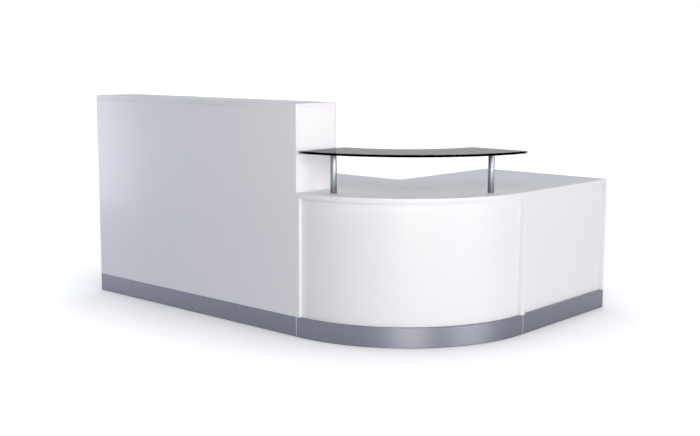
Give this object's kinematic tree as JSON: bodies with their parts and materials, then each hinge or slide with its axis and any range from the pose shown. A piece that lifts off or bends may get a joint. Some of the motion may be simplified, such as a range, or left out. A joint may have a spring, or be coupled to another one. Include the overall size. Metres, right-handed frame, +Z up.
{
  "type": "reception desk",
  "caption": "L-shaped white reception desk: tall straight counter, quarter-round corner with a smoked glass shelf on posts, low return, silver plinth on levelling feet.",
  "frame": {"origin": "on the floor under the middle of the desk's bounding box", "axes": "+X along the tall counter's front to the right as a visitor faces it, +Y from the visitor's side to the staff side, +Z up"},
  "size_m": [2.4538, 1.6538, 1.1499],
  "materials": {
    "white_melamine": "white melamine-faced board with matching edge band, satin gloss",
    "plinth_laminate": "board faced with brushed aluminium laminate",
    "smoked_glass": "smoked toughened glass, polished edge",
    "satin_aluminium": "satin anodised",
    "clear_rubber": "clear bonding pad",
    "zinc_steel": "zinc plated",
    "black_nylon": "moulded nylon"
  },
  "bodies": {
    "desk": {"tall_front_panel": "white_melamine", "tall_left_gable": "white_melamine", "tall_right_gable": "white_melamine", "tall_counter_top": "white_melamine", "tall_worktop": "white_melamine", "tall_worktop_batten": "white_melamine", "tall_plinth": "plinth_laminate", "corner_left_gable": "white_melamine", "corner_right_gable": "white_melamine", "corner_curved_panel": "white_melamine", "corner_top_former": "white_melamine", "corner_base_former": "white_melamine", "corner_worktop": "white_melamine", "corner_plinth": "plinth_laminate", "return_near_gable": "white_melamine", "return_far_gable": "white_melamine", "return_front_panel": "white_melamine", "return_worktop_rail": "white_melamine", "return_base_rail": "white_melamine", "return_worktop": "white_melamine", "return_plinth": "plinth_laminate", "glass_shelf": "smoked_glass", "left_shelf_post": "satin_aluminium", "right_shelf_post": "satin_aluminium", "left_shelf_pad": "clear_rubber", "right_shelf_pad": "clear_rubber", "left_shelf_bolt": "zinc_steel", "right_shelf_bolt": "zinc_steel", "left_plinth_strip": "satin_aluminium", "right_plinth_strip": "satin_aluminium", "tall_joint_lower_nut": "zinc_steel", "tall_joint_lower_screw": "zinc_steel", "tall_joint_upper_nut": "zinc_steel", "tall_joint_upper_screw": "zinc_steel", "return_joint_lower_nut": "zinc_steel", "return_joint_lower_screw": "zinc_steel", "return_joint_upper_nut": "zinc_steel", "return_joint_upper_screw": "zinc_steel", "tall_left_front_insert": "zinc_steel", "tall_left_back_insert": "zinc_steel", "tall_right_front_insert": "zinc_steel", "tall_right_back_insert": "zinc_steel", "corner_left_front_insert": "zinc_steel", "corner_left_back_insert": "zinc_steel", "corner_right_front_insert": "zinc_steel", "return_near_front_insert": "zinc_steel", "return_near_back_insert": "zinc_steel", "return_far_front_insert": "zinc_steel", "return_far_back_insert": "zinc_steel"},
    "tall_left_front_foot": {"tall_left_front_foot": "black_nylon"},
    "tall_left_back_foot": {"tall_left_back_foot": "black_nylon"},
    "tall_right_front_foot": {"tall_right_front_foot": "black_nylon"},
    "tall_right_back_foot": {"tall_right_back_foot": "black_nylon"},
    "corner_left_front_foot": {"corner_left_front_foot": "black_nylon"},
    "corner_left_back_foot": {"corner_left_back_foot": "black_nylon"},
    "corner_right_front_foot": {"corner_right_front_foot": "black_nylon"},
    "return_near_front_foot": {"return_near_front_foot": "black_nylon"},
    "return_near_back_foot": {"return_near_back_foot": "black_nylon"},
    "return_far_front_foot": {"return_far_front_foot": "black_nylon"},
    "return_far_back_foot": {"return_far_back_foot": "black_nylon"}
  },
  "joints": [
    {"name": "tall_left_front_level", "type": "slide", "parent": "desk", "child": "tall_left_front_foot", "axis": [0, 0, -1], "range_m": [0, 0.015]},
    {"name": "tall_left_back_level", "type": "slide", "parent": "desk", "child": "tall_left_back_foot", "axis": [0, 0, -1], "range_m": [0, 0.015]},
    {"name": "tall_right_front_level", "type": "slide", "parent": "desk", "child": "tall_right_front_foot", "axis": [0, 0, -1], "range_m": [0, 0.015]},
    {"name": "tall_right_back_level", "type": "slide", "parent": "desk", "child": "tall_right_back_foot", "axis": [0, 0, -1], "range_m": [0, 0.015]},
    {"name": "corner_left_front_level", "type": "slide", "parent": "desk", "child": "corner_left_front_foot", "axis": [0, 0, -1], "range_m": [0, 0.015]},
    {"name": "corner_left_back_level", "type": "slide", "parent": "desk", "child": "corner_left_back_foot", "axis": [0, 0, -1], "range_m": [0, 0.015]},
    {"name": "corner_right_front_level", "type": "slide", "parent": "desk", "child": "corner_right_front_foot", "axis": [0, 0, -1], "range_m": [0, 0.015]},
    {"name": "return_near_front_level", "type": "slide", "parent": "desk", "child": "return_near_front_foot", "axis": [0, 0, -1], "range_m": [0, 0.015]},
    {"name": "return_near_back_level", "type": "slide", "parent": "desk", "child": "return_near_back_foot", "axis": [0, 0, -1], "range_m": [0, 0.015]},
    {"name": "return_far_front_level", "type": "slide", "parent": "desk", "child": "return_far_front_foot", "axis": [0, 0, -1], "range_m": [0, 0.015]},
    {"name": "return_far_back_level", "type": "slide", "parent": "desk", "child": "return_far_back_foot", "axis": [0, 0, -1], "range_m": [0, 0.015]}
  ]
}
